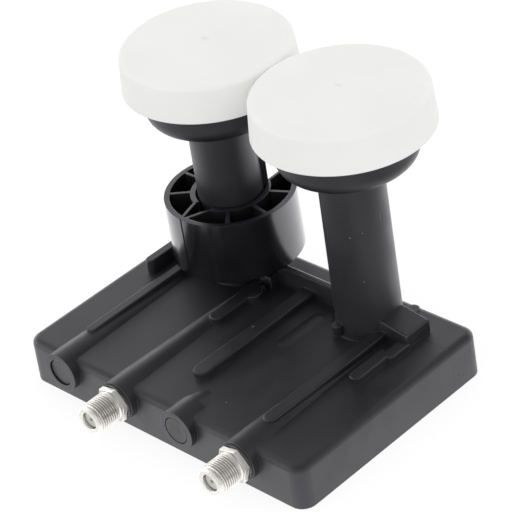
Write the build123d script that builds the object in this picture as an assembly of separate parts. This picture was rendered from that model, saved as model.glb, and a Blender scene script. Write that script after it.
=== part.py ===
from build123d import *
import os
from math import atan2, cos, degrees, hypot, radians, sin

os.makedirs("parts", exist_ok=True)

# Driving dimensions, all in millimetres. X runs along the port face, ports look to -Y, feeds stand up +Z.
# Heights are stacked: each one is measured from the level that carries it.
# Casting: base box, open below
base_w = 110.9
base_d = 76.8
base_h = 14.3
base_corner = 4.5
base_draft = 1.0
top_round = 2.2
roof = 2.6
rim_wall = 1.6
ledge_w = 2.6
cavity_corner = 2.0

# Casting: two feed necks with horns and choke rings
feed_gap = 51.3
feed_inset = 13.6
neck_h = 54.7
neck_foot_r = 9.9
neck_top_r = 9.6
neck_foot_round = 1.2
bore_r = 8.5
bore_mouth_r = 9.0
bore_step = 0.5
iris_r = 7.2
flange_r = 20.7
flange_round = 5.0
throat_round = 2.0
horn_h = 12.6
rim_r = 24.1
rim_h = 7.9
choke_depth = 8.0
choke_w = 2.9
choke_wall = 2.2

# Casting: ports, evenly spaced between two end insets
port_count = 4
port_inset_left = 16.89
port_inset_right = 21.47
boss_r = 6.2
boss_out = 2.3
boss_in = 6.0
ridge_short = 12.2
ridge_short_r = 4.55
ridge_end = 3.0
ridge_end_r = 5.1
ridge_neck_clear = 2.1
swell_dx = 2.45
swell_r = 6.0
swell_rise = 0.45
swell_front = 38.2
swell_back = -5.0

# Casting: ribs, wings, link and pegs, as rises above the roof
rib_rise = 2.3
rib_tall_rise = 4.9
rib_edge = 0.5
wing_half = 5.0
wing_reach = 18.65
wing_neck_rise = 5.8
wing_end_rise = 4.3
wing_edge = 0.6
link_t = 2.0
link_rise = 6.6
peg_r = 1.6
peg_rise = 3.2
peg_dx = -3.2
peg_dy = -10.2
ejector_r = 2.0
ejector_rise = 0.25
ejector_dx = 7.4
ejector_dy = 10.5

# Ribs: sides from their port's middle, front end from the port face, back end from the feed axis
rib_a_sides = (-2.44, 0.86)
rib_a_front = 11.2
rib_b_w = 3.2
rib_b_inset = 0.15
rib_b_front = -19.2
rib_b_back = 4.0
rib_d_sides = (0.08, 4.48)
rib_d_front = 35.8
rib_d_back = -6.6
rib_d_tail_w = 1.9
pad_dx = 2.98
pad_dy = -10.8
pad_r = 3.3
gusset_sides = (0.4, 5.2)
gusset_front = -4.8
gusset_rise = 4.2
rib_e_sides = (-9.7, -4.6)
rib_e_front = 14.2
rib_e_back = -0.5
rib_g_sides = (-1.78, 2.52)
rib_g_front = 9.8
rib_g_back = -4.0
rib_h_sides = (5.92, 9.82)
rib_h_front = 37.0
rib_h_back = -11.0
rib_i_sides = (7.42, 11.32)
rib_i_front = 49.8
rib_i_back = -5.0

# Feed caps
cap_wall = 1.1
cap_flare = 0.7
cap_skirt = 1.1
cap_t = 1.5
cap_dome = 1.0
cap_round = 2.2
cap_flat_gap = 0.5
cap_flat_wall = 0.9
seal_t = 1.2

# F connectors (3/8-32 thread, 10 mm hex)
thread_r = 9.525 / 2
hex_af = 10.0
hex_t = 1.7
hex_turn = 12.0
hex_crown = 0.8
hex_flare = 1.6
washer_r = 5.6
washer_t = 0.5
undercut_r = 4.8
undercut_t = 0.3
smooth_r = 4.3
smooth_t = 0.9
thread_len = 6.9
lip_len = 0.85
lip_step = 0.25
lip_r = 3.9
spigot_r = 4.6
spigot_out = 1.5
socket_r = 2.7
insulator_set = 1.0
pin_entry_r = 0.6
pin_entry_len = 1.5
contact_r = 0.8
contact_set = 0.5
contact_socket_len = 4.0
tail_r = 0.45
tail_len = 5.0
tail_gap = 0.25

# Blanking plugs
plug_r = 4.05
plug_set_a = 0.5
plug_set_b = 0.1

# Holder collar, standing on the link wall round the left neck
collar_r = 20.0
collar_wall = 1.65
collar_h = 20.9
wall_lift = 0.9
ring_gap = 0.6
ring_t = 1.6
web_t = 0.9
collar_turn = -3.5
web_angles_right = (-45.5, -8.5, 30.5)
web_angles_left = (-43.0, -6.0, 33.0)
end_inner_deg = (58.2, 54.0)
end_outer_deg = (75.1, 66.0)
hinge_skin = 0.9
hinge_groove = 0.35
hinge_slit = 0.8
hinge_inner_half = 3.3
finger_deg = 6.0
finger_h = 31.1
finger_t = 1.0

# Inside
cover_t = 2.0
gasket_t = 0.8
board_t = 1.2
board_side = 1.55
board_front = 10.5
board_back = 4.8
shield_gap = 1.5
shield_set = 4.0
shield_floor = 1.2
shield_wall = 1.4
shield_lug = 2.6
cup_r = 6.2
puck_x = 14.0
puck_r = 2.8
puck_t = 2.2
chip_inset = 4.8
chip_w = 6.0
chip_t = 1.6
post_inset = 7.2
post_r = 3.2
screw_r = 1.25
screw_head_r = 2.3
screw_head_t = 1.0
screw_sink = 0.1
screw_len = 7.9
small_screw_r = 1.0
small_head_r = 1.9
small_head_t = 1.2
small_bite = 1.5
cross_w = 0.5
cross_half = 1.25
cross_depth = 0.6

# Clearances, and how far one form runs into the next where they are one casting or one cut
gap = 0.3
seat_gap = 0.15
head_room = 0.2
hole_end = 0.6
merge = 1.0

# Places that follow from the sizes above
flange_z = base_h + neck_h
rim_z = flange_z + horn_h
horn_top = rim_z + rim_h
cap_in_r = rim_r + gap
cap_r = cap_in_r + cap_wall
cap_foot_r = cap_r + cap_flare
cap_z = rim_z - cap_skirt
cap_under = horn_top + seal_t
cap_top = cap_under + cap_t
cap_flat_x = cap_flat_gap / 2
cap_room_x = cap_flat_x + cap_flat_wall
horn_flat_x = cap_room_x + gap
connector_len = washer_t + undercut_t + hex_t + smooth_t + thread_len + lip_len
port_reach = boss_out + connector_len
feed_front = base_d - feed_inset
depth = port_reach + feed_front + cap_foot_r
front_y = -depth / 2 + port_reach
feed_y = depth / 2 - cap_foot_r
back_y = feed_y + feed_inset
mid_y = (front_y + back_y) / 2
feed_x = feed_gap / 2
boss_y = front_y - boss_out
boss_end_y = front_y + boss_in
tail_y = boss_end_y + spigot_out
port_pitch = (base_w - port_inset_left - port_inset_right) / (port_count - 1)
ports = [port_inset_left - base_w / 2 + i * port_pitch for i in range(port_count)]
roof_under = base_h - roof
board_under = roof_under - board_t
port_z = board_under - tail_gap - tail_r
ledge_z = cover_t + gasket_t
pocket_w = base_w - 2 * rim_wall
pocket_d = base_d - 2 * rim_wall
pocket_corner = base_corner - rim_wall
cavity_w = pocket_w - 2 * ledge_w
cavity_d = pocket_d - 2 * ledge_w
post_x = base_w / 2 - post_inset
post_y = base_d / 2 - post_inset


def save(shape, name):
    export_step(shape, "parts/" + name + ".step")


def slab(width, length, radius, z0, z1):
    face = RectangleRounded(width, length, radius)
    return Pos(0, mid_y, z0) * extrude(face, amount=z1 - z0)


def rod(x, y0, y1, z, radius):
    return Pos(x, (y0 + y1) / 2, z) * Rot(90, 0, 0) * Cylinder(radius, abs(y1 - y0))


def post(x, y, z0, z1, radius):
    return Pos(x, y, (z0 + z1) / 2) * Cylinder(radius, z1 - z0)


def block(x0, x1, y0, y1, z0, z1):
    return Pos((x0 + x1) / 2, (y0 + y1) / 2, (z0 + z1) / 2) * Box(x1 - x0, y1 - y0, z1 - z0)


# The half of space on one feed's side of a plane near the middle, as a block that holds any one feed.
def half(side, x_plane):
    return block(*sorted((side * x_plane, side * base_w)), feed_y - base_d, feed_y + base_d, 0, 2 * cap_top)


# A raised rib: flat top with soft edges and a rounded front end.
def rib(x0, x1, y0, y1, rise):
    r = (x1 - x0) / 2
    x = (x0 + x1) / 2
    plan = Pos(x, y0 + r) * Circle(r) + Pos(x, (y0 + r + y1) / 2) * Rectangle(x1 - x0, y1 - y0 - r)
    body = Pos(0, 0, base_h - merge) * extrude(plan, amount=rise + merge)
    return fillet(body.faces().sort_by(Axis.Z)[-1].edges(), rib_edge)


# What of a form lies above the roof, with a little below it to join.
def above_roof(shape):
    return shape & slab(base_w, base_d, base_corner, base_h - merge, cap_top)


# A port's boss and the round ridge that runs back from it over the roof, one drafted bar with a ball end.
def ridge(x, y1, end_r):
    r = boss_r
    run = y1 - boss_y
    sides = Polyline((0, run + end_r), (0, 0), (r, 0), (r, boss_end_y - boss_y), (end_r, run))
    half = end_r * sin(radians(45))
    ball = ThreePointArc((end_r, run), (half, run + half), (0, run + end_r))
    bar = Pos(x, boss_y, port_z) * Rot(-90, 0, 0) * revolve(Plane.XZ * make_face([sides, ball]), Axis.Z)
    room = block(x - 2 * r, x + 2 * r, boss_y - merge, boss_end_y, 0, base_h + r)
    room += block(x - 2 * r, x + 2 * r, boss_end_y - merge, back_y, base_h - merge, base_h + r)
    return bar & room


# Neck, flange, rim and the two choke grooves, revolved in one piece.
def draw_feed(side):
    w = choke_wall
    groove_a = bore_mouth_r + w
    groove_b = groove_a + choke_w + w
    groove_z = horn_top - choke_depth
    foot = base_h - merge
    foot_r = neck_foot_r + neck_foot_round
    arc_in = neck_foot_round * (1 - cos(radians(45)))
    start = Polyline((0, foot), (foot_r, foot), (foot_r, base_h))
    heel = ThreePointArc(
        (foot_r, base_h), (neck_foot_r + arc_in, base_h + arc_in), (neck_foot_r, base_h + neck_foot_round)
    )
    stem = Polyline(
        (neck_foot_r, base_h + neck_foot_round), (neck_top_r, flange_z), (flange_r - flange_round, flange_z)
    )
    bend = flange_round * sin(radians(45))
    shoulder = ThreePointArc(
        (flange_r - flange_round, flange_z),
        (flange_r - flange_round + bend, flange_z + flange_round - bend),
        (flange_r, flange_z + flange_round),
    )
    mouth = Polyline(
        (flange_r, flange_z + flange_round), (flange_r, rim_z), (rim_r, rim_z), (rim_r, horn_top),
        (groove_b + choke_w, horn_top), (groove_b + choke_w, groove_z), (groove_b, groove_z),
        (groove_b, horn_top), (groove_a + choke_w, horn_top), (groove_a + choke_w, groove_z),
        (groove_a, groove_z), (groove_a, horn_top), (0, horn_top), (0, foot)
    )
    solid = revolve(Plane.XZ * make_face([start, heel, stem, shoulder, mouth]), Axis.Z)
    circles = solid.edges().filter_by(GeomType.CIRCLE)
    throat = circles.filter_by_position(Axis.Z, flange_z - gap, flange_z + gap).sort_by(SortBy.RADIUS)[0]
    solid = fillet(throat, throat_round)
    return Pos(side * feed_x, feed_y, 0) * solid & half(side, horn_flat_x)


# Housing: one casting
plan = RectangleRounded(base_w, base_d, base_corner)
housing = Pos(0, mid_y, 0) * extrude(plan, amount=base_h, taper=base_draft)
housing = fillet(housing.faces().sort_by(Axis.Z)[-1].edges(), top_round)
housing -= slab(pocket_w, pocket_d, pocket_corner, -merge, ledge_z)
housing -= slab(cavity_w, cavity_d, cavity_corner, 0, roof_under)
wing_front = feed_y - wing_half
neck_stop = feed_y - neck_foot_r - ridge_neck_clear
ridge_stops = (wing_front - ridge_end, wing_front - ridge_end, front_y + ridge_short, neck_stop)
ridge_rs = (ridge_end_r, ridge_end_r, ridge_short_r, ridge_end_r)
for x, stop, end_r in zip(ports, ridge_stops, ridge_rs):
    housing += ridge(x, stop, end_r)
swell_z = base_h + swell_rise - swell_r
swell_y0 = front_y + swell_front + swell_r / 2
swell_y1 = feed_y + swell_back - swell_r / 2
swell = rod(ports[2] + swell_dx, swell_y0, swell_y1, swell_z, swell_r)
for y in (swell_y0, swell_y1):
    swell += Pos(ports[2] + swell_dx, y, swell_z) * Sphere(swell_r)
housing += above_roof(swell)
port_ribs = (
    (0, rib_a_sides, rib_a_front, merge - wing_half),
    (1, rib_d_sides, rib_d_front, rib_d_back),
    (2, rib_e_sides, rib_e_front, rib_e_back),
    (3, rib_g_sides, rib_g_front, rib_g_back),
    (3, rib_h_sides, rib_h_front, rib_h_back),
    (3, rib_i_sides, rib_i_front, rib_i_back),
)
for i, sides, front, back in port_ribs:
    housing += rib(ports[i] + sides[0], ports[i] + sides[1], front_y + front, feed_y + back, rib_rise)
rib_d_x = ports[1] + rib_d_sides[0]
tail_front = feed_y + rib_d_back - merge
housing += block(rib_d_x, rib_d_x + rib_d_tail_w, tail_front, feed_y, base_h - merge, base_h + rib_rise)
housing += post(ports[1] + pad_dx, feed_y + pad_dy, base_h - merge, base_h + rib_rise, pad_r)
gusset_x = [ports[1] + side for side in gusset_sides]
gusset = block(*gusset_x, feed_y + gusset_front, feed_y, base_h - merge, base_h + gusset_rise)
housing += fillet(gusset.faces().sort_by(Axis.Z)[-1].edges(), rib_edge)
rib_b_x = rib_b_inset - feed_x - collar_r
housing += rib(rib_b_x - rib_b_w, rib_b_x, feed_y + rib_b_front, feed_y + rib_b_back, rib_tall_rise)
wing_side = Polyline(
    (0, -merge), (wing_reach, -merge), (wing_reach, wing_end_rise), (neck_foot_r, wing_neck_rise),
    (0, wing_neck_rise), (0, -merge)
)
wing = extrude(Plane.XZ * make_face(wing_side), amount=wing_half, both=True)
wing = fillet(wing.edges().filter_by_position(Axis.Z, wing_end_rise - gap, wing_neck_rise + gap), wing_edge)
housing += Pos(feed_x, feed_y, base_h) * wing
housing += Pos(-feed_x, feed_y, base_h) * Rot(0, 0, 180) * wing
link = block(-feed_x, feed_x, feed_y - link_t / 2, feed_y + link_t / 2, base_h - merge, base_h + link_rise)
housing += fillet(link.edges().filter_by(Axis.X).group_by(Axis.Z)[-1], rib_edge)
housing += post(feed_x + peg_dx, feed_y + peg_dy, base_h - merge, base_h + peg_rise, peg_r)
housing += post(feed_x + ejector_dx, feed_y + ejector_dy, base_h - merge, base_h + ejector_rise, ejector_r)
for side in (-1, 1):
    housing += draw_feed(side)
for x in (-feed_x, feed_x):
    housing -= post(x, feed_y, base_h - bore_step, horn_top + merge, bore_r)
    housing -= post(x, feed_y, roof_under - merge, base_h, iris_r)
    housing -= Pos(x, feed_y, horn_top - choke_depth / 2) * Cone(bore_r, bore_mouth_r, choke_depth)
posts = [(sx * post_x, mid_y + sy * post_y) for sx in (-1, 1) for sy in (-1, 0, 1)]
for x, y in posts:
    housing += post(x, y, cover_t, roof_under + gap, post_r)
    housing -= post(x, y, cover_t - merge, screw_sink + screw_len + hole_end, screw_r + gap)
for i in (1, 3):
    housing -= rod(ports[i], boss_y - merge, tail_y + merge, port_z, spigot_r + gap)
for i in (0, 2):
    housing -= rod(ports[i], boss_y - merge, boss_end_y + merge, port_z, plug_r + gap)
board_w = 2 * (post_x - post_r - board_side)
board_y0 = front_y + board_front
board_y1 = back_y - board_back
shield_w = board_w - 2 * shield_gap
shield_y0 = board_y0 + shield_set
shield_z = ledge_z + head_room + small_head_t
lug_x = shield_w / 2 - shield_lug
lug_ys = (shield_y0 + shield_lug, board_y1 - shield_lug)
lugs = [(x, y) for x in (-lug_x, 0, lug_x) for y in lug_ys]
for x, y in lugs:
    housing -= post(x, y, roof_under - merge, roof_under + small_bite + gap, small_screw_r + gap)
save(housing, "housing")

# Base cover, its gasket and six cross-head screws
cover = slab(pocket_w - 2 * gap, pocket_d - 2 * gap, pocket_corner - gap, 0, cover_t)
screws = []
for x, y in posts:
    cover -= post(x, y, -merge, cover_t + merge, screw_r + gap)
    cover -= post(x, y, -merge, screw_sink + screw_head_t, screw_head_r + gap)
    screw = post(x, y, screw_sink, screw_sink + screw_head_t, screw_head_r)
    screw += post(x, y, screw_sink, screw_sink + screw_len, screw_r)
    for dx, dy in ((cross_half, cross_w / 2), (cross_w / 2, cross_half)):
        screw -= block(x - dx, x + dx, y - dy, y + dy, 0, screw_sink + cross_depth)
    screws.append(screw)
save(cover, "base_cover")
gasket = slab(pocket_w - 2 * gap, pocket_d - 2 * gap, pocket_corner - gap, cover_t, ledge_z)
gasket -= slab(cavity_w + 2 * gap, cavity_d + 2 * gap, cavity_corner + gap, cover_t - merge, ledge_z + merge)
save(gasket, "cover_gasket")
save(Compound(children=screws), "cover_screws")

# Circuit board, chamber frame with its two back-short cups, and their six screws
board = block(-board_w / 2, board_w / 2, board_y0, board_y1, board_under, roof_under)
frame = block(-shield_w / 2, shield_w / 2, shield_y0, board_y1, shield_z, board_under)
w = shield_wall
cell_mid = feed_y - cup_r - 2 * w
cell_x = shield_w / 2 - 2 * shield_lug
cells = (
    (-cell_x, -w / 2, shield_y0 + w, cell_mid - w / 2),
    (w / 2, cell_x, shield_y0 + w, cell_mid - w / 2),
    (-2 * shield_lug, 2 * shield_lug, cell_mid + w / 2, board_y1 - 2 * shield_lug),
)
cell_z = shield_z + shield_floor
for x0, x1, y0, y1 in cells:
    frame -= block(x0, x1, y0, y1, cell_z, board_under + merge)
frame += block(-shield_lug, shield_lug, shield_y0, shield_y0 + 2 * shield_lug, shield_z, board_under)
for x in (-feed_x, feed_x):
    frame -= post(x, feed_y, cell_z, board_under + merge, cup_r)
head_z = shield_z - small_head_t
small_screws = []
for x, y in lugs:
    board -= post(x, y, board_under - merge, roof_under + merge, small_screw_r + gap)
    frame -= post(x, y, shield_z - merge, board_under + merge, small_screw_r + gap)
    screw = post(x, y, head_z, shield_z, small_head_r)
    screw += post(x, y, head_z, roof_under + small_bite, small_screw_r)
    screw -= block(x - cross_half, x + cross_half, y - cross_w / 2, y + cross_w / 2, 0, head_z + cross_depth)
    small_screws.append(screw)
save(board, "circuit_board")
save(frame, "shield_frame")
save(Compound(children=small_screws), "shield_screws")
cell_y = (shield_y0 + cell_mid) / 2
pucks = [post(x, cell_y, board_under - puck_t, board_under, puck_r) for x in (-puck_x, puck_x)]
save(Compound(children=pucks), "oscillator_pucks")
chip_x = cell_x - chip_inset
chip_y = cell_y - chip_w / 2
chip = block(chip_x - chip_w, chip_x, chip_y, chip_y + chip_w, board_under - chip_t, board_under)
save(chip, "supply_regulator")

# Feed caps and the seals between horn rim and cap
bend = cap_round * sin(radians(45))
edge_r = cap_r - cap_round
edge_z = cap_top - cap_round
dome = ThreePointArc((0, cap_top + cap_dome), (edge_r / 2, cap_top + 0.75 * cap_dome), (edge_r, cap_top))
brow = ThreePointArc((edge_r, cap_top), (edge_r + bend, edge_z + bend), (cap_r, edge_z))
wall = Polyline((cap_r, edge_z), (cap_foot_r, cap_z), (0, cap_z), (0, cap_top + cap_dome))
cap_form = revolve(Plane.XZ * make_face([dome, brow, wall]), Axis.Z)
seal_in_r = bore_mouth_r + 2 * (choke_wall + choke_w) + choke_wall / 2
for side, name in ((-1, "left"), (1, "right")):
    x = side * feed_x
    room = post(x, feed_y, cap_z - merge, cap_under, cap_in_r) & half(side, cap_room_x)
    cap = (Pos(x, feed_y, 0) * cap_form & half(side, cap_flat_x)) - room
    save(cap, "feed_cap_" + name)
    seal = post(x, feed_y, horn_top, cap_under, rim_r - seat_gap) & half(side, horn_flat_x)
    seal -= post(x, feed_y, horn_top - merge, cap_under + merge, seal_in_r)
    save(seal, "cap_seal_" + name)

# F connectors on ports two and four: washer, turned body with hex, insulator and centre contact
hex_corner = hex_af / 2 / cos(radians(30))
hexagon = extrude(RegularPolygon(hex_af / 2, 6, major_radius=False, rotation=hex_turn), amount=hex_t)
hexagon &= Pos(0, 0, hex_t / 2) * Cone(hex_corner + hex_flare, hex_corner - hex_crown, hex_t)
for i, tag in ((1, "a"), (3, "b")):
    x = ports[i]
    z = port_z
    y = boss_y - washer_t
    washer = rod(x, boss_y, y, z, washer_r) - rod(x, boss_y + merge, y - merge, z, spigot_r + gap)
    save(washer, "connector_washer_" + tag)
    body = rod(x, tail_y, y, z, spigot_r)
    body += rod(x, y, y - undercut_t, z, undercut_r)
    y -= undercut_t
    body += Pos(x, y, z) * Rot(90, 0, 0) * hexagon
    y -= hex_t
    body += rod(x, y, y - smooth_t, z, smooth_r)
    y -= smooth_t
    body += rod(x, y, y - thread_len, z, thread_r)
    y -= thread_len
    body += Pos(x, y - lip_len / 2, z) * Rot(90, 0, 0) * Cone(thread_r - lip_step, lip_r, lip_len)
    y -= lip_len
    body -= rod(x, y - merge, tail_y + merge, z, socket_r)
    save(body, "connector_body_" + tag)
    y += insulator_set
    insulator = rod(x, y, tail_y, z, socket_r - gap)
    insulator -= rod(x, y - merge, tail_y, z, pin_entry_r)
    y += pin_entry_len
    insulator -= rod(x, y, tail_y + merge, z, contact_r + gap)
    save(insulator, "connector_insulator_" + tag)
    y += contact_set
    contact = rod(x, y, tail_y, z, contact_r) - rod(x, y - merge, y + contact_socket_len, z, tail_r)
    contact += rod(x, tail_y - merge, tail_y + tail_len, z, tail_r)
    save(contact, "connector_contact_" + tag)

# Blanking plugs pressed into ports one and three
for i, tag, inset in ((0, "a", plug_set_a), (2, "b", plug_set_b)):
    save(rod(ports[i], boss_y + inset, boss_end_y, port_z, plug_r), "port_plug_" + tag)

# Holder collar: a C-shaped moulding with a thin hinge in front, open at the back, webs between two rings
ring_in = neck_foot_r + ring_gap
ring_out = ring_in + ring_t
ring_mid = ring_in + ring_t / 2
wall_in = collar_r - collar_wall
wall_mid = collar_r - collar_wall / 2
far = 2 * collar_r


def polar(radius, angle):
    return (radius * cos(radians(angle)), radius * sin(radians(angle)))


def flip(point, side):
    return (side * point[0], point[1])


def tube(outside, inside, height):
    return Pos(0, 0, height / 2) * (Cylinder(outside, height) - Cylinder(inside, height))


def plate(p, q, height):
    length = hypot(q[0] - p[0], q[1] - p[1])
    turn = degrees(atan2(q[1] - p[1], q[0] - p[0]))
    middle = Pos((p[0] + q[0]) / 2, (p[1] + q[1]) / 2, height / 2)
    return middle * Rot(0, 0, turn) * Box(length, web_t, height)


def prism(points, height):
    return extrude(make_face(Polyline(*points, close=True)), amount=height)


inner_ends = [flip(polar(ring_mid, a), side) for a, side in zip(end_inner_deg, (1, -1))]
outer_ends = [flip(polar(wall_mid, a), side) for a, side in zip(end_outer_deg, (1, -1))]
opening = prism(
    [(0, ring_in / 2), inner_ends[0], outer_ends[0], (outer_ends[0][0], far), (outer_ends[1][0], far),
     outer_ends[1], inner_ends[1]],
    finger_h,
)
hinge_in = (hinge_inner_half, -ring_mid)
hinge_out = (web_t / 2, -wall_mid)
hinge_gap = prism([(0, -ring_in / 2), hinge_in, (0, -far), flip(hinge_in, -1)], finger_h)
body = tube(collar_r, wall_in, collar_h) - opening
body += tube(ring_out, ring_in, collar_h) - opening - hinge_gap
web_sets = (web_angles_right, web_angles_left)
halves = zip((1, -1), web_sets, inner_ends, outer_ends, end_inner_deg)
for side, angles, inner_end, outer_end, inner_deg in halves:
    for angle in angles:
        body += plate(flip(polar(ring_mid, angle), side), flip(polar(wall_mid, angle), side), collar_h)
    body += plate(inner_end, outer_end, collar_h)
    body += plate(flip(hinge_in, side), flip(hinge_out, side), collar_h)
    sweep = [flip(polar(far, inner_deg - part), side) for part in (finger_deg, 0)]
    body += tube(ring_in + finger_t, ring_in, finger_h) & prism([(0, 0)] + sweep, finger_h)
body &= Pos(0, 0, finger_h / 2) * Cylinder(collar_r, finger_h)
body -= tube(collar_r + merge, wall_in, wall_lift)
hinge_line = collar_r - hinge_skin
body -= prism([(0, -hinge_line), (hinge_slit, -ring_in), (-hinge_slit, -ring_in)], finger_h)
groove = [(0, hinge_groove - collar_r), (2 * hinge_groove, -collar_r - hinge_groove)]
body -= prism(groove + [flip(groove[1], -1)], finger_h)
collar = Pos(-feed_x, feed_y, base_h + link_rise) * Rot(0, 0, collar_turn) * body
save(collar, "collar")
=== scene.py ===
import math

import bmesh
import bpy
from mathutils import Matrix, Vector


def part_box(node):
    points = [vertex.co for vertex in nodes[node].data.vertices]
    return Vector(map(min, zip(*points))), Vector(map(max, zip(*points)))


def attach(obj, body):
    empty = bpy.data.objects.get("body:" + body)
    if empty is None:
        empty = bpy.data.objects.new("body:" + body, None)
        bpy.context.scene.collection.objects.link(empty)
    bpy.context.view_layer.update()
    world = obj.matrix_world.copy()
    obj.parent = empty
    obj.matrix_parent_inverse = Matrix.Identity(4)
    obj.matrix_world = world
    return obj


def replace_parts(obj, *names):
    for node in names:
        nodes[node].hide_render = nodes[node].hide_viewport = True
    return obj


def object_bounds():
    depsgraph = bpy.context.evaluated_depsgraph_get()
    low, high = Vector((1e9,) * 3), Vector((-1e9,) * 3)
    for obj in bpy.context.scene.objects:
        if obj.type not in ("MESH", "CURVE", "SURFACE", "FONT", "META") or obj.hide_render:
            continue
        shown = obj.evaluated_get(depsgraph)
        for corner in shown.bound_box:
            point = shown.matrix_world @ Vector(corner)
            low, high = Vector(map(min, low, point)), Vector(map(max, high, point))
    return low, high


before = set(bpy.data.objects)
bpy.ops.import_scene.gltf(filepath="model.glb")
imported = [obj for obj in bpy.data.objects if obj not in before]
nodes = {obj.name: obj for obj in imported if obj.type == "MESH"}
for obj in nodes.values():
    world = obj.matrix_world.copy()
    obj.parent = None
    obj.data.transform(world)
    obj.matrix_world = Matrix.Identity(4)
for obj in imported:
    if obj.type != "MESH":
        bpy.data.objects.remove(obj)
cad_low, cad_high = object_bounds()

# Housing: one aluminium die casting, base box with ribs, two necks and two horns, coated in satin black.
# The coating is slightly uneven, with fine cast grain, drawing streaks on the necks, a faint die line, an ejector
# mark and a nick. Its outer edges are lighter, partly rubbed and partly a painted highlight, and a painted highlight
# runs along the crest of the link wall between the necks.
coat_dark = (0.0085, 0.0088, 0.0106, 1)
coat_light = (0.0140, 0.0143, 0.0168, 1)
# Outer edge grey: partly rubbed coating, partly a painted highlight.
coat_rub_and_highlight = (0.150, 0.150, 0.156, 1)
# Crest grey: a painted highlight along the crest of the link wall.
crest_painted_highlight = (0.42, 0.42, 0.43, 1)
base_h = 0.0143
house_low, house_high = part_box("housing")
base_top = house_low.z + base_h
feed_low, feed_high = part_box("feed_cap_right")
feed_y = (feed_low.y + feed_high.y) / 2
feed_x = feed_high.x - (feed_high.y - feed_low.y) / 2
streak_start, streak_full = base_top + 0.008, base_top + 0.015
die_line_x, die_line_y = 0.045, feed_y + 0.0009
die_line_fade, die_line_half = 0.002, 0.0001
mark_at, mark_r, mark_edge = (0.0333, feed_y + 0.0093, base_top), 0.0027, 0.00012
nick_at, nick_shape = (0.03534, feed_y + 0.0002, house_low.z + 0.0532), (1.0, 1.0, 0.35)
nick_r, nick_core = 0.0006, 0.0002
crest_y, crest_z, crest_reach = feed_y + 0.0008, base_top + 0.0062, feed_x - 0.0150
crest_wide, crest_deep = 0.00025, 0.0005
heel_r, heel_z, heel_half = 0.01112, base_top + 0.0006, 0.0007
round_from = base_top + 0.009


def put(tree, kind, settings=None, **sockets):
    """Adds one node; each socket, by name or as in0, in1, takes a value or another node's output."""
    node = tree.nodes.new(kind)
    for name, value in (settings or {}).items():
        setattr(node, name, value)
    for name, value in sockets.items():
        key = int(name[2:]) if name[:2] == "in" and name[2:].isdigit() else name.replace("_", " ")
        if isinstance(value, bpy.types.NodeSocket):
            tree.links.new(value, node.inputs[key])
        else:
            node.inputs[key].default_value = value
    return node


def calc(tree, operation, a, b=0.0):
    return put(tree, "ShaderNodeMath", {"operation": operation}, in0=a, in1=b).outputs[0]


def vector(tree, operation, a, **sockets):
    return put(tree, "ShaderNodeVectorMath", {"operation": operation}, in0=a, **sockets).outputs


def axes(tree, place):
    return put(tree, "ShaderNodeSeparateXYZ", Vector=place).outputs


def spread(tree, value, low, high, to_low=0.0, to_high=1.0):
    """A value between low and high, eased over to another range and held there."""
    ease = {"interpolation_type": "SMOOTHSTEP"}
    return put(tree, "ShaderNodeMapRange", ease, Value=value, in1=low, in2=high, in3=to_low, in4=to_high).outputs[0]


def near(tree, value, middle, half):
    """One within half of the middle, nothing from one and a half times that on."""
    off = calc(tree, "ABSOLUTE", calc(tree, "SUBTRACT", value, middle))
    return spread(tree, off, 1.5 * half, half)


def blend(tree, share, a, b):
    return put(tree, "ShaderNodeMix", {"data_type": "RGBA"}, in0=share, in6=a, in7=b).outputs[2]


def new_group(name, inputs, outputs):
    """An empty shader group with a vector input called Place, number inputs and number outputs."""
    group = bpy.data.node_groups.new(name, "ShaderNodeTree")
    group.interface.new_socket("Place", in_out="INPUT", socket_type="NodeSocketVector")
    for label, value in inputs.items():
        socket = group.interface.new_socket(label, in_out="INPUT", socket_type="NodeSocketFloat")
        socket.default_value = value
    for label in outputs:
        group.interface.new_socket(label, in_out="OUTPUT", socket_type="NodeSocketFloat")
    return group, group.nodes.new("NodeGroupInput").outputs, group.nodes.new("NodeGroupOutput").inputs


# Shared by every skin: a fine grain as a height, and a slow unevenness for colour and roughness.
grain_group, ins, outs = new_group("skin_grain", {"Grain": 2500.0, "Patch": 55.0}, ["Height", "Uneven"])
fine = put(grain_group, "ShaderNodeTexNoise", Vector=ins["Place"], Scale=ins["Grain"], Detail=3.0)
slow = put(grain_group, "ShaderNodeTexNoise", Vector=ins["Place"], Scale=ins["Patch"], Detail=4.0)
grain_group.links.new(fine.outputs["Fac"], outs["Height"])
grain_group.links.new(spread(grain_group, slow.outputs["Fac"], 0.35, 0.65), outs["Uneven"])


def new_material(name):
    """A material, as (material, its tree, its shader, object coordinates)."""
    material = bpy.data.materials.new(name)
    material.use_nodes = True
    tree = material.node_tree
    place = tree.nodes.new("ShaderNodeTexCoord").outputs["Object"]
    return material, tree, tree.nodes["Principled BSDF"], place


def skin_of(tree, place, grain, patch):
    return put(tree, "ShaderNodeGroup", {"node_tree": grain_group}, Place=place, Grain=grain, Patch=patch).outputs


def finish_skin(tree, shader, colour, rough, height, strength, normal=None):
    """Joins colour, roughness and a bump of a tenth of a millimetre to the shader."""
    tree.links.new(colour, shader.inputs["Base Color"])
    tree.links.new(rough, shader.inputs["Roughness"])
    bump = put(tree, "ShaderNodeBump", Height=height, Strength=strength, Distance=0.0001)
    if normal:
        tree.links.new(normal, bump.inputs["Normal"])
    tree.links.new(bump.outputs[0], shader.inputs["Normal"])


def dress(material, *names):
    """Gives CAD nodes their material."""
    for name in names:
        nodes[name].data.materials.clear()
        nodes[name].data.materials.append(material)


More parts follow.
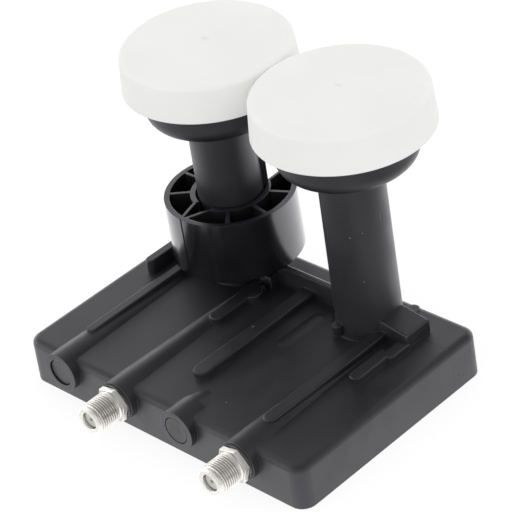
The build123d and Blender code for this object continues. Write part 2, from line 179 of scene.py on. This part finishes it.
coat, t, shader, place = new_material("satin_black_coat")
skin = skin_of(t, place, 2300.0, 110.0)
spot = axes(t, place)
streak_place = put(t, "ShaderNodeMapping", Vector=place, Scale=(900.0, 900.0, 22.0)).outputs[0]
streaks = put(t, "ShaderNodeTexNoise", Vector=streak_place, Scale=1.0, Detail=2.0).outputs["Fac"]
streaks = calc(t, "MULTIPLY", streaks, spread(t, spot["Z"], streak_start, streak_full, 0.0, 1.3))
line = spread(t, calc(t, "SUBTRACT", spot["Y"], die_line_y), -die_line_half, die_line_half)
line = calc(t, "MULTIPLY", line, spread(t, spot["X"], die_line_x - die_line_fade, die_line_x + die_line_fade))
mark_off = vector(t, "LENGTH", vector(t, "SUBTRACT", place, in1=mark_at)["Vector"])["Value"]
mark = spread(t, mark_off, mark_r + mark_edge, mark_r - mark_edge)
nick_shift = [-c * f for c, f in zip(nick_at, nick_shape)]
nick_way = put(t, "ShaderNodeMapping", Vector=place, Location=nick_shift, Scale=nick_shape).outputs[0]
pit = spread(t, vector(t, "LENGTH", nick_way)["Value"], nick_r, nick_core)
steps = calc(t, "ADD", calc(t, "MULTIPLY", line, 0.8), calc(t, "MULTIPLY", mark, 0.8))
steps = calc(t, "SUBTRACT", steps, calc(t, "MULTIPLY", pit, 2.5))
height = calc(t, "ADD", calc(t, "MULTIPLY", skin["Height"], 0.55), steps)

# Lighter places: outer edges, found where a softened slope leaves the true one in open air, partly rubbed coating
# and partly a painted highlight; and a painted highlight along the crest.
soft = put(t, "ShaderNodeBevel", {"samples": 6}, Radius=0.0003).outputs[0]
true = put(t, "ShaderNodeNewGeometry").outputs["Normal"]
alike = vector(t, "DOT_PRODUCT", soft, in1=true)["Value"]
open_air = put(t, "ShaderNodeAmbientOcclusion", {"samples": 6, "only_local": True}, Distance=0.0008).outputs["AO"]
edge = calc(t, "MULTIPLY", spread(t, alike, 0.985, 0.90, 0.0, 0.6), spread(t, open_air, 0.70, 0.95))
colour = blend(t, edge, blend(t, skin["Uneven"], coat_dark, coat_light), coat_rub_and_highlight)
# A painted highlight: a light grey line along the crest of the link wall.
crest = calc(t, "MULTIPLY", near(t, spot["Y"], crest_y, crest_wide), near(t, spot["Z"], crest_z, crest_deep))
crest = calc(t, "MULTIPLY", crest, near(t, spot["X"], 0.0, crest_reach))
colour = blend(t, crest, colour, crest_painted_highlight)
rough = spread(t, skin["Uneven"], 0.0, 1.0, 0.49, 0.54)
shader.inputs["Specular IOR Level"].default_value = 0.7
shader.inputs["Specular Tint"].default_value = (0.93, 0.93, 1.0, 1)

# Above the roof, and at the necks' heels, the casting is round about the two feed axes, so its slope is taken
# from the nearer axis.
side_x = calc(t, "MULTIPLY", calc(t, "SIGN", spot["X"]), feed_x)
off_x = calc(t, "SUBTRACT", spot["X"], side_x)
off_y = calc(t, "SUBTRACT", spot["Y"], feed_y)
from_axis = put(t, "ShaderNodeCombineXYZ", X=off_x, Y=off_y).outputs[0]
away = vector(t, "LENGTH", from_axis)["Value"]
heel = calc(t, "MULTIPLY", calc(t, "LESS_THAN", away, heel_r), near(t, spot["Z"], heel_z, heel_half))
tilt = calc(t, "MULTIPLY", axes(t, true)["Z"], calc(t, "SUBTRACT", 1.0, heel))
flat = calc(t, "SQRT", calc(t, "MAXIMUM", calc(t, "SUBTRACT", 1.0, calc(t, "MULTIPLY", tilt, tilt)), 0.0))
outward = vector(t, "NORMALIZE", from_axis)["Vector"]
level = vector(t, "SCALE", outward, Scale=flat)["Vector"]
upright = put(t, "ShaderNodeCombineXYZ", Z=tilt).outputs[0]
round_way = vector(t, "ADD", level, in1=upright)["Vector"]
is_round = calc(t, "MAXIMUM", heel, calc(t, "GREATER_THAN", spot["Z"], round_from))
slope = put(t, "ShaderNodeMix", {"data_type": "VECTOR"}, in0=is_round, in4=soft, in5=round_way).outputs[1]
finish_skin(t, shader, colour, rough, calc(t, "ADD", height, streaks), 0.30, slope)
dress(coat, "housing")

# Dust: a few pale specks of grit stuck to the coating, on the roof, the right face and the right neck.
# Each is one shard of a rough ball, turned and sized by its number.
roof_specks = ((0.0175, -0.0520), (0.0292, -0.0418), (-0.0074, -0.0640), (0.0536, 0.0010),
               (-0.0055, -0.0310), (0.0015, -0.0237), (0.0203, -0.0369))
face_specks = ((0.00247, 0.0024), (0.00417, 0.0017), (0.00591, 0.0013), (0.00060, 0.0021), (0.00520, 0.0030),
               (0.00330, 0.0041), (0.00680, 0.0036), (-0.00410, 0.0052))
neck_specks = ((0.0306, 0.0494), (0.0325, 0.0343), (0.0333, 0.0506))
speck_size, speck_flat, speck_seed = 0.00020, 0.6, 7
speck_least, speck_most, speck_narrow = 0.55, 1.25, 0.8
any_turn = (6.28, 6.28, 6.28)
grit_dark, grit_light = (0.14, 0.14, 0.135, 1), (0.30, 0.29, 0.28, 1)


def even_skin(name, grain, patch, dark, light, rough, bump):
    """A material of two close tones with a grain, as (material, shader); rough is its lowest and highest roughness."""
    material, tree, shader, place = new_material(name)
    skin = skin_of(tree, place, grain, patch)
    colour = blend(tree, skin["Uneven"], dark, light)
    finish_skin(tree, shader, colour, spread(tree, skin["Uneven"], 0.0, 1.0, *rough), skin["Height"], bump)
    return material, shader


def add_piece(name, mesh, material=None):
    """A new object at the origin that rides on the body."""
    if material:
        mesh.materials.append(material)
    piece = bpy.data.objects.new(name, mesh)
    bpy.context.scene.collection.objects.link(piece)
    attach(piece, "root")
    return piece


def new_rule(name, inputs):
    """An empty geometry group with these inputs, as (group, input sockets, identifiers by name)."""
    rule = bpy.data.node_groups.new(name, "GeometryNodeTree")
    rule.is_modifier = True
    rule.interface.new_socket("Geometry", in_out="INPUT", socket_type="NodeSocketGeometry")
    rule.interface.new_socket("Geometry", in_out="OUTPUT", socket_type="NodeSocketGeometry")
    keys = {}
    for label, kind in inputs.items():
        keys[label] = rule.interface.new_socket(label, in_out="INPUT", socket_type="NodeSocket" + kind).identifier
    return rule, rule.nodes.new("NodeGroupInput").outputs, keys


def close_rule(rule, geometry, material):
    """Ends a rule with real geometry in its material."""
    real = put(rule, "GeometryNodeRealizeInstances", Geometry=geometry).outputs[0]
    dressed = put(rule, "GeometryNodeSetMaterial", Geometry=real, Material=material).outputs[0]
    put(rule, "NodeGroupOutput", Geometry=dressed)


def run_rule(rule, keys, values, points):
    """The mesh that a rule makes from these points."""
    seed_mesh = bpy.data.meshes.new("rule_points")
    seed_mesh.from_pydata(points, [], [])
    maker = bpy.data.objects.new("rule_maker", seed_mesh)
    bpy.context.scene.collection.objects.link(maker)
    modifier = maker.modifiers.new(rule.name, "NODES")
    modifier.node_group = rule
    for label, value in values.items():
        modifier[keys[label]] = value
    made = bpy.data.meshes.new_from_object(maker.evaluated_get(bpy.context.evaluated_depsgraph_get()))
    maker.modifiers.remove(modifier)
    bpy.data.objects.remove(maker)
    return made


def on_housing(start, way):
    """Where a straight line first meets the casting."""
    hit, found, _, _ = nodes["housing"].ray_cast(Vector(start), Vector(way))
    return found if hit else None


grit, _ = even_skin("pale_grit", 6000.0, 900.0, grit_dark, grit_light, (0.75, 0.90), 0.4)
speck_inputs = {"Speck": "Float", "Flatness": "Float", "Seed": "Int", "Grit": "Material"}
rule, ins, keys = new_rule("grit_specks", speck_inputs)
shard = put(rule, "GeometryNodeMeshIcoSphere", Radius=ins["Speck"], Subdivisions=2).outputs[0]
any_way = {"data_type": "FLOAT_VECTOR"}
turned = put(rule, "FunctionNodeRandomValue", any_way, in1=any_turn, Seed=ins["Seed"]).outputs[0]
sized = put(rule, "FunctionNodeRandomValue", in2=speck_least, in3=speck_most, Seed=ins["Seed"]).outputs[1]
narrow = calc(rule, "MULTIPLY", sized, speck_narrow)
low = calc(rule, "MULTIPLY", sized, ins["Flatness"])
shape = put(rule, "ShaderNodeCombineXYZ", X=sized, Y=narrow, Z=low).outputs[0]
specks = put(rule, "GeometryNodeInstanceOnPoints", Points=ins["Geometry"], Instance=shard, Rotation=turned, Scale=shape)
close_rule(rule, specks.outputs[0], ins["Grit"])
above, beside, ahead = base_top + 0.02, house_high.x + 0.02, feed_y - 0.03
found = [on_housing((x, feed_y + y, above), (0, 0, -1)) for x, y in roof_specks]
found += [on_housing((beside, feed_y + y, house_low.z + z), (-1, 0, 0)) for y, z in face_specks]
found += [on_housing((x, ahead, house_low.z + z), (0, 1, 0)) for x, z in neck_specks]
wanted = {"Speck": speck_size, "Flatness": speck_flat, "Seed": speck_seed, "Grit": grit}
add_piece("grit_specks", run_rule(rule, keys, wanted, [point for point in found if point]))

# Blanking plugs: turned metal discs in the same black coating, a little smoother than the casting.
# They are pressed into the two ports that have no connector.
plug_coat, _ = even_skin("plug_coat", 3200.0, 210.0, coat_dark, coat_light, (0.42, 0.52), 0.25)
dress(plug_coat, "port_plug_a", "port_plug_b")

# Base cover: a flat pressed plate in the same coating, closing the casting from below on a rubber gasket.
# Six cross-head steel screws hold it; rubber rings of the same kind seal the feed caps.
rubber_dark, rubber_light = (0.010, 0.010, 0.010, 1), (0.028, 0.028, 0.028, 1)
zinc_dark, zinc_light = (0.52, 0.52, 0.50, 1), (0.66, 0.66, 0.63, 1)
cover_coat, _ = even_skin("cover_coat", 1800.0, 70.0, coat_dark, coat_light, (0.52, 0.56), 0.3)
dress(cover_coat, "base_cover")
rubber, _ = even_skin("seal_rubber", 3000.0, 120.0, rubber_dark, rubber_light, (0.72, 0.85), 0.25)
dress(rubber, "cover_gasket", "cap_seal_left", "cap_seal_right")
zinc, shader = even_skin("zinc_plated_steel", 2600.0, 300.0, zinc_dark, zinc_light, (0.28, 0.40), 0.2)
shader.inputs["Metallic"].default_value = 1.0
dress(zinc, "cover_screws", "shield_screws")

# Inside: a green laminate board under the roof, held by a bare cast chamber frame and its screws.
# Two ceramic pucks and a black moulded regulator sit on the board.
board_dark, board_light = (0.016, 0.085, 0.035, 1), (0.030, 0.130, 0.055, 1)
cast_dark, cast_light = (0.46, 0.46, 0.47, 1), (0.60, 0.60, 0.61, 1)
puck_dark, puck_light = (0.40, 0.30, 0.20, 1), (0.52, 0.41, 0.29, 1)
chip_dark, chip_light = (0.012, 0.012, 0.013, 1), (0.022, 0.022, 0.023, 1)
laminate, _ = even_skin("board_laminate", 1500.0, 160.0, board_dark, board_light, (0.35, 0.48), 0.15)
dress(laminate, "circuit_board")
bare_cast, shader = even_skin("bare_casting", 1400.0, 90.0, cast_dark, cast_light, (0.42, 0.58), 0.4)
shader.inputs["Metallic"].default_value = 1.0
dress(bare_cast, "shield_frame")
ceramic, _ = even_skin("puck_ceramic", 4000.0, 400.0, puck_dark, puck_light, (0.60, 0.75), 0.3)
dress(ceramic, "oscillator_pucks")
epoxy, _ = even_skin("chip_moulding", 5000.0, 500.0, chip_dark, chip_light, (0.55, 0.68), 0.25)
dress(epoxy, "supply_regulator")

# Feed caps: thin white moulded shells pressed over the horns, matt, a little see-through at the edges.
# Each has the small oval mark of its moulding gate in the middle of the top.
cap_white, cap_warm = (0.935, 0.933, 0.924, 1), (0.915, 0.913, 0.899, 1)
gate_size = (0.0012, 0.0006, 0.00012)
cap_plastic, shader = even_skin("white_cap_plastic", 1600.0, 40.0, cap_white, cap_warm, (0.60, 0.68), 0.12)
shader.inputs["Specular IOR Level"].default_value = 0.15
shader.inputs["Subsurface Weight"].default_value = 0.2
shader.inputs["Subsurface Radius"].default_value = (0.003, 0.003, 0.0027)
shader.inputs["Subsurface Scale"].default_value = 0.5
dress(cap_plastic, "feed_cap_left", "feed_cap_right")


def form_piece(form, name, material, crease=None):
    """A piece from a worked form: flat-shaded, or smooth but for edges sharper than the crease."""
    mesh = bpy.data.meshes.new(name)
    form.to_mesh(mesh)
    form.free()
    if crease:
        mesh.shade_smooth()
        mesh.set_sharp_from_angle(angle=crease)
    return add_piece(name, mesh, material)


for side, name in ((-1, "left"), (1, "right")):
    form = bmesh.new()
    bmesh.ops.create_uvsphere(form, u_segments=32, v_segments=16, radius=1.0)
    bmesh.ops.scale(form, vec=gate_size, verts=form.verts)
    bmesh.ops.translate(form, vec=(side * feed_x, feed_y, feed_high.z), verts=form.verts)
    form_piece(form, "cap_gate_" + name, cap_plastic, math.pi)

# F connectors: turned and nickel-plated brass bodies with a thin hex, a rolled thread and a chamfered mouth.
# A pale plastic insulator with a sprung contact sits in the bore; a steel washer lies behind the hex.
# The faces that look to the front are painted darker than the flats, a painted shade, and the thread's roots and
# other shut-in corners are painted darker, a painted shade.
nickel_dark, nickel_light = (0.73, 0.71, 0.675, 1), (0.81, 0.79, 0.755, 1)
front_painted_shade, root_painted_shade = (0.47, 0.455, 0.43, 1), (0.33, 0.31, 0.275, 1)
polymer_dark, polymer_light = (0.56, 0.56, 0.54, 1), (0.66, 0.66, 0.63, 1)
washer_dark, washer_light = (0.16, 0.16, 0.155, 1), (0.25, 0.25, 0.24, 1)
mouth_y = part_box("connector_body_a")[0].y
nickel, t, shader, place = new_material("matt_nickel")
skin = skin_of(t, place, 3800.0, 260.0)
colour = blend(t, skin["Uneven"], nickel_dark, nickel_light)
facing = axes(t, put(t, "ShaderNodeNewGeometry").outputs["Normal"])["Y"]
behind = spread(t, axes(t, place)["Y"], mouth_y + 0.001, mouth_y + 0.003, 0.35, 1.0)
# Painted shade: faces that look to the front are darker, less so near the mouth.
colour = blend(t, calc(t, "MULTIPLY", spread(t, facing, -0.80, -0.98), behind), colour, front_painted_shade)
# Painted shade in the thread's roots and other shut-in corners, by occlusion.
open_air = put(t, "ShaderNodeAmbientOcclusion", {"samples": 8, "only_local": True}, Distance=0.0007).outputs["AO"]
colour = blend(t, spread(t, open_air, 0.20, 0.66), root_painted_shade, colour)
finish_skin(t, shader, colour, spread(t, skin["Uneven"], 0.0, 1.0, 0.34, 0.42), skin["Height"], 0.05)
shader.inputs["Metallic"].default_value = 0.75
dress(nickel, "connector_contact_a", "connector_contact_b")
polymer, _ = even_skin("insulator_plastic", 3500.0, 300.0, polymer_dark, polymer_light, (0.45, 0.60), 0.2)
dress(polymer, "connector_insulator_a", "connector_insulator_b")
washer_steel, shader = even_skin("washer_steel", 3000.0, 350.0, washer_dark, washer_light, (0.34, 0.46), 0.1)
shader.inputs["Metallic"].default_value = 1.0
dress(washer_steel, "connector_washer_a", "connector_washer_b")

# The thread as a rule: a sheet wrapped round the axis, lifted along a screw line and run out at both ends.
root_end, crest_start, run_out = 0.08, 0.68, 0.7
weld = 0.000001
thread_inputs = {"Root Radius": "Float", "Depth": "Float", "Pitch": "Float", "Length": "Float",
                 "Around": "Int", "Along": "Int", "Metal": "Material"}
tree, asked, thread_keys = new_rule("rolled_thread", thread_inputs)
around_verts = calc(tree, "ADD", asked["Around"], 1.0)
along_verts = calc(tree, "ADD", asked["Along"], 1.0)
sheet = put(tree, "GeometryNodeMeshGrid", Size_X=1.0, Size_Y=1.0, Vertices_X=around_verts, Vertices_Y=along_verts)
spot = axes(tree, put(tree, "GeometryNodeInputPosition").outputs[0])
turn = calc(tree, "ADD", spot["X"], 0.5)
run = calc(tree, "MULTIPLY", calc(tree, "ADD", spot["Y"], 0.5), asked["Length"])
phase = calc(tree, "FRACT", calc(tree, "SUBTRACT", calc(tree, "DIVIDE", run, asked["Pitch"]), turn))
from_crest = calc(tree, "ABSOLUTE", calc(tree, "SUBTRACT", calc(tree, "MULTIPLY", phase, 2.0), 1.0))
tooth = calc(tree, "SUBTRACT", 1.0, from_crest)
tooth = put(tree, "ShaderNodeMapRange", Value=tooth, in1=root_end, in2=crest_start).outputs[0]
from_end = calc(tree, "MINIMUM", run, calc(tree, "SUBTRACT", asked["Length"], run))
fade_len = calc(tree, "MULTIPLY", asked["Pitch"], run_out)
fade = put(tree, "ShaderNodeMapRange", Value=from_end, in1=0.0, in2=fade_len).outputs[0]
lift = calc(tree, "MULTIPLY", calc(tree, "MULTIPLY", tooth, fade), asked["Depth"])
radius = calc(tree, "ADD", asked["Root Radius"], lift)
angle = calc(tree, "MULTIPLY", turn, 2.0 * math.pi)
across = calc(tree, "MULTIPLY", radius, calc(tree, "COSINE", angle))
upward = calc(tree, "MULTIPLY", radius, calc(tree, "SINE", angle))
goal = put(tree, "ShaderNodeCombineXYZ", X=across, Y=calc(tree, "MULTIPLY", run, -1.0), Z=upward).outputs[0]
wrapped = put(tree, "GeometryNodeSetPosition", Geometry=sheet.outputs["Mesh"], Position=goal).outputs[0]
joined = put(tree, "GeometryNodeMergeByDistance", Geometry=wrapped, Distance=weld).outputs[0]
close_rule(tree, joined, asked["Metal"])

# The rest of the body is one turned profile, with six flats at the hex; the thread closes it in the middle.
ring_count, thread_rows = 96, 104
pitch = 0.0254 / 32
undercut_r, undercut_t = 0.0048, 0.0003
hex_half, hex_t, hex_turn = 0.0050, 0.0017, math.radians(12.0)
hex_crown = 0.00012
neck_fillet = 0.0005
neck_r, neck_t = 0.0043, 0.0009
thread_depth, thread_len = 0.00046, 0.0069
lip_out, lip_r, lip_len = 0.0045, 0.0039, 0.00085
lip_start, lip_round = 0.00008, 0.00018
spigot_r = 0.0046
bore_r, bore_edge = 0.0027, 0.0002
body_weld, body_crease = 0.000004, math.radians(32.0)


def hex_radius(angle):
    """Distance from the axis to a side of the hex at this angle."""
    part = (angle - hex_turn + 1e-6) % (math.pi / 3) - math.pi / 6
    return hex_half / math.cos(part)


def crown_radius(angle):
    return hex_radius(angle) - hex_crown


def ring(form, y, radius, axis_x, axis_z):
    """One loop of points round the axis; the radius is a number or a rule of the angle."""
    loop = []
    for i in range(ring_count):
        angle = hex_turn + 2.0 * math.pi * i / ring_count
        r = radius(angle) if callable(radius) else radius
        loop.append(form.verts.new((axis_x + r * math.cos(angle), y, axis_z + r * math.sin(angle))))
    return loop


def skin_rings(form, loops):
    """Faces between each loop and the next."""
    for one, two in zip(loops, loops[1:]):
        for i in range(ring_count):
            j = (i + 1) % ring_count
            form.faces.new((one[i], one[j], two[j], two[i]))


for tag in ("a", "b"):
    name = "connector_body_" + tag
    low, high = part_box(name)
    axis_x = (low.x + high.x) / 2
    axis_z = (low.z + high.z) / 2
    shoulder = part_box("connector_washer_" + tag)[0].y
    hex_back = shoulder - undercut_t
    hex_front = hex_back - hex_t
    thread_start = hex_front - neck_t
    thread_end = thread_start - thread_len
    back = [(high.y, bore_r), (high.y, spigot_r), (shoulder, spigot_r), (shoulder, undercut_r),
            (hex_back, undercut_r), (hex_back, hex_radius), (hex_front + hex_crown, hex_radius),
            (hex_front, crown_radius)]
    for part in (0.0, 0.35, 0.7, 1.0):
        rise = neck_fillet * math.sin(part * math.pi / 2)
        fall = neck_fillet * (1.0 - math.cos(part * math.pi / 2))
        back.append((hex_front - fall, neck_r + neck_fillet - rise))
    back.append((thread_start, neck_r))
    mouth = [(thread_end, neck_r), (thread_end - lip_start, lip_out), (thread_end - 0.40 * lip_len, lip_out),
             (thread_end - 0.80 * lip_len, lip_r + lip_round), (low.y, lip_r), (low.y, bore_r + bore_edge),
             (low.y + bore_edge, bore_r)]
    form = bmesh.new()
    back_rings = [ring(form, y, r, axis_x, axis_z) for y, r in back]
    skin_rings(form, back_rings)
    mouth_rings = [ring(form, y, r, axis_x, axis_z) for y, r in mouth]
    skin_rings(form, mouth_rings + back_rings[:1])
    wanted = {"Root Radius": neck_r, "Depth": thread_depth, "Pitch": pitch, "Length": thread_len,
              "Around": ring_count, "Along": thread_rows, "Metal": nickel}
    thread = run_rule(tree, thread_keys, wanted, [])
    thread.transform(Matrix.Translation((axis_x, thread_start, axis_z)) @ Matrix.Rotation(-hex_turn, 4, "Y"))
    form.from_mesh(thread)
    bpy.data.meshes.remove(thread)
    bmesh.ops.remove_doubles(form, verts=form.verts, dist=body_weld)
    bmesh.ops.recalc_face_normals(form, faces=form.faces)
    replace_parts(form_piece(form, name + "_turned", nickel, body_crease), name)

# Holder collar: one black moulding with webs and a thin hinge, clipped round the left neck by two tall fingers.
# The outer wall is polished; its upward edges and everything inside the wall are duller. Inside the wall the
# black is also lighter, painted light that lifts the shaded pockets and webs.
gloss_dark, gloss_light = (0.0060, 0.0060, 0.0074, 1), (0.0090, 0.0090, 0.0108, 1)
pocket_painted_light = (0.0125, 0.0125, 0.0140, 1)
wall_mid_r, wall_in_r = 0.0186, 0.0180
gloss, t, shader, place = new_material("gloss_black_plastic")
skin = skin_of(t, place, 900.0, 90.0)
soft = put(t, "ShaderNodeBevel", {"samples": 4}, Radius=0.0002).outputs[0]
up = spread(t, axes(t, put(t, "ShaderNodeNewGeometry").outputs["Normal"])["Z"], 0.80, 0.95)
to_axis = {"Location": (feed_x, -feed_y, 0.0), "Scale": (1.0, 1.0, 0.0)}
from_axis = put(t, "ShaderNodeMapping", Vector=place, **to_axis).outputs[0]
within = spread(t, vector(t, "LENGTH", from_axis)["Value"], wall_mid_r, wall_in_r)
# Painted light: a lighter black inside the wall, for the shaded pockets and webs.
colour = blend(t, within, blend(t, skin["Uneven"], gloss_dark, gloss_light), pocket_painted_light)
dull = calc(t, "MAXIMUM", calc(t, "MULTIPLY", up, 0.08), calc(t, "MULTIPLY", within, 0.10))
rough = calc(t, "ADD", spread(t, skin["Uneven"], 0.0, 1.0, 0.19, 0.24), dull)
shader.inputs["Specular IOR Level"].default_value = 0.85
shader.inputs["Specular Tint"].default_value = (0.94, 0.94, 1.0, 1)
finish_skin(t, shader, colour, rough, skin["Height"], 0.04, soft)
dress(gloss, "collar")

# The fingers' inner halves, from the solid's fingers to just off the neck, which narrows upwards.
collar_low, collar_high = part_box("collar")
finger_in, finger_sweep, grip_gap = 0.0105, math.radians(6.0), 0.00004
right_finger, left_finger = math.radians(58.2 - 6.0 - 3.5), math.radians(180.0 - 54.0 - 3.5)
neck_foot_r, neck_foot_z, neck_taper = 0.0099, base_top + 0.0012, 0.0003 / 0.0535
grip_low, grip_high, grip_steps = collar_low.z + 0.010, collar_high.z, 8
grip_corners = ((grip_low, True), (grip_low, False), (grip_high, False), (grip_high, True))
for name, start in (("right", right_finger), ("left", left_finger)):
    form = bmesh.new()
    slices = []
    for i in range(grip_steps + 1):
        angle = start + finger_sweep * i / grip_steps
        corners = []
        for z, inner in grip_corners:
            r = neck_foot_r - neck_taper * (z - neck_foot_z) + grip_gap if inner else finger_in
            corners.append(form.verts.new((r * math.cos(angle) - feed_x, r * math.sin(angle) + feed_y, z)))
        slices.append(corners)
    for one, two in zip(slices, slices[1:]):
        for k in range(4):
            form.faces.new((one[k], one[k - 1], two[k - 1], two[k]))
    form.faces.new(slices[0])
    form.faces.new(slices[-1][::-1])
    bmesh.ops.recalc_face_normals(form, faces=form.faces)
    form_piece(form, "collar_grip_" + name, gloss)

# Stage: a pale paper floor, white where the camera sees it, that keeps the object's shadow.
# What shines mirrors it bright close to the base and behind it, and darker in front and to the right.
floor_half, floor_drop = 3.0, 0.0002
paper_matt, paper_thin, paper_glow = (0.86, 0.86, 0.86, 1), (0.20, 0.20, 0.20, 1), 0.86
near_glow, front_glow, back_gain = 1.60, 0.40, 1.40
white = (1, 1, 1, 1)
floor_mesh = bpy.data.meshes.new("studio_floor")
corners = [(sx * floor_half, sy * floor_half, 0.0) for sx, sy in ((-1, -1), (1, -1), (1, 1), (-1, 1))]
floor_mesh.from_pydata(corners, [], [(0, 1, 2, 3)])
floor = bpy.data.objects.new("studio_floor", floor_mesh)
bpy.context.scene.collection.objects.link(floor)
floor.location.z = cad_low.z - floor_drop
paper = bpy.data.materials.new("pale_paper")
paper.use_nodes = True
t = paper.node_tree
t.nodes.clear()
light_path = put(t, "ShaderNodeLightPath").outputs
seen = calc(t, "MAXIMUM", light_path["Is Camera Ray"], light_path["Is Glossy Ray"])
seen = calc(t, "MAXIMUM", seen, light_path["Is Transmission Ray"])
matt = put(t, "ShaderNodeBsdfDiffuse", Color=paper_matt).outputs[0]
thin = put(t, "ShaderNodeBsdfDiffuse", Color=paper_thin).outputs[0]
spot = axes(t, put(t, "ShaderNodeTexCoord").outputs["Object"])
to_right = calc(t, "SUBTRACT", spot["X"], house_high.x)
to_front = calc(t, "SUBTRACT", house_low.y, spot["Y"])
mirrored = spread(t, calc(t, "MAXIMUM", to_right, to_front), 0.010, 0.050, near_glow, front_glow)
gain = spread(t, spot["Y"], house_high.y - 0.02, house_high.y + 0.06, 1.0, back_gain)
mirrored = calc(t, "MULTIPLY", mirrored, gain)
glow_level = put(t, "ShaderNodeMix", in0=light_path["Is Glossy Ray"], in2=paper_glow, in3=mirrored).outputs[0]
glow = put(t, "ShaderNodeEmission", Color=white, Strength=glow_level).outputs[0]
bright = put(t, "ShaderNodeAddShader", in0=thin, in1=glow).outputs[0]
mixed = put(t, "ShaderNodeMixShader", in0=seen, in1=matt, in2=bright).outputs[0]
put(t, "ShaderNodeOutputMaterial", Surface=mixed)
floor_mesh.materials.append(paper)

# Surround: soft white light from all round, a little weaker from straight above.
# What shines mirrors a bright low band behind and to the left, and a darker side at the right front.
dark_side = (0.95, -0.30, 0.0)
world = bpy.data.worlds.new("studio_surround")
bpy.context.scene.world = world
world.use_nodes = True
t = world.node_tree
t.nodes.clear()
ray_way = put(t, "ShaderNodeTexCoord").outputs["Generated"]
rise = axes(t, ray_way)["Z"]
mirrored = spread(t, vector(t, "DOT_PRODUCT", ray_way, in1=dark_side)["Value"], -0.5, 0.4, 1.50, 0.55)
mirrored = calc(t, "MULTIPLY", mirrored, spread(t, rise, 0.08, 0.45, 2.70, 0.58))
shed = spread(t, rise, 0.25, 0.95, 1.14, 0.80)
light_path = put(t, "ShaderNodeLightPath").outputs
level = put(t, "ShaderNodeMix", in0=light_path["Is Glossy Ray"], in2=shed, in3=mirrored).outputs[0]
level = put(t, "ShaderNodeMix", in0=light_path["Is Camera Ray"], in2=level, in3=1.0).outputs[0]
background = put(t, "ShaderNodeBackground", Color=white, Strength=level).outputs[0]
put(t, "ShaderNodeOutputWorld", Surface=background)

# Camera: at the photo's place, with a long lens, looking down from the right front and rolled a little.
# The view transform is the plain one, so that colours come out as written.
camera_place = Vector((0.42852, feed_y - 0.39294, 0.41807))
camera_target = Vector((-0.01921, feed_y, 0.01993))
camera_roll = math.radians(-9.404)
camera_data = bpy.data.cameras.new("photo_camera")
camera_data.lens = 168.02
camera_data.sensor_width = 36.0
camera_data.clip_end = 10.0
camera = bpy.data.objects.new("photo_camera", camera_data)
bpy.context.scene.collection.objects.link(camera)
aim = (camera_target - camera_place).to_track_quat("-Z", "Y").to_matrix() @ Matrix.Rotation(camera_roll, 3, "Z")
camera.matrix_world = Matrix.Translation(camera_place) @ aim.to_4x4()
bpy.context.scene.camera = camera
bpy.context.scene.view_settings.view_transform = "Standard"
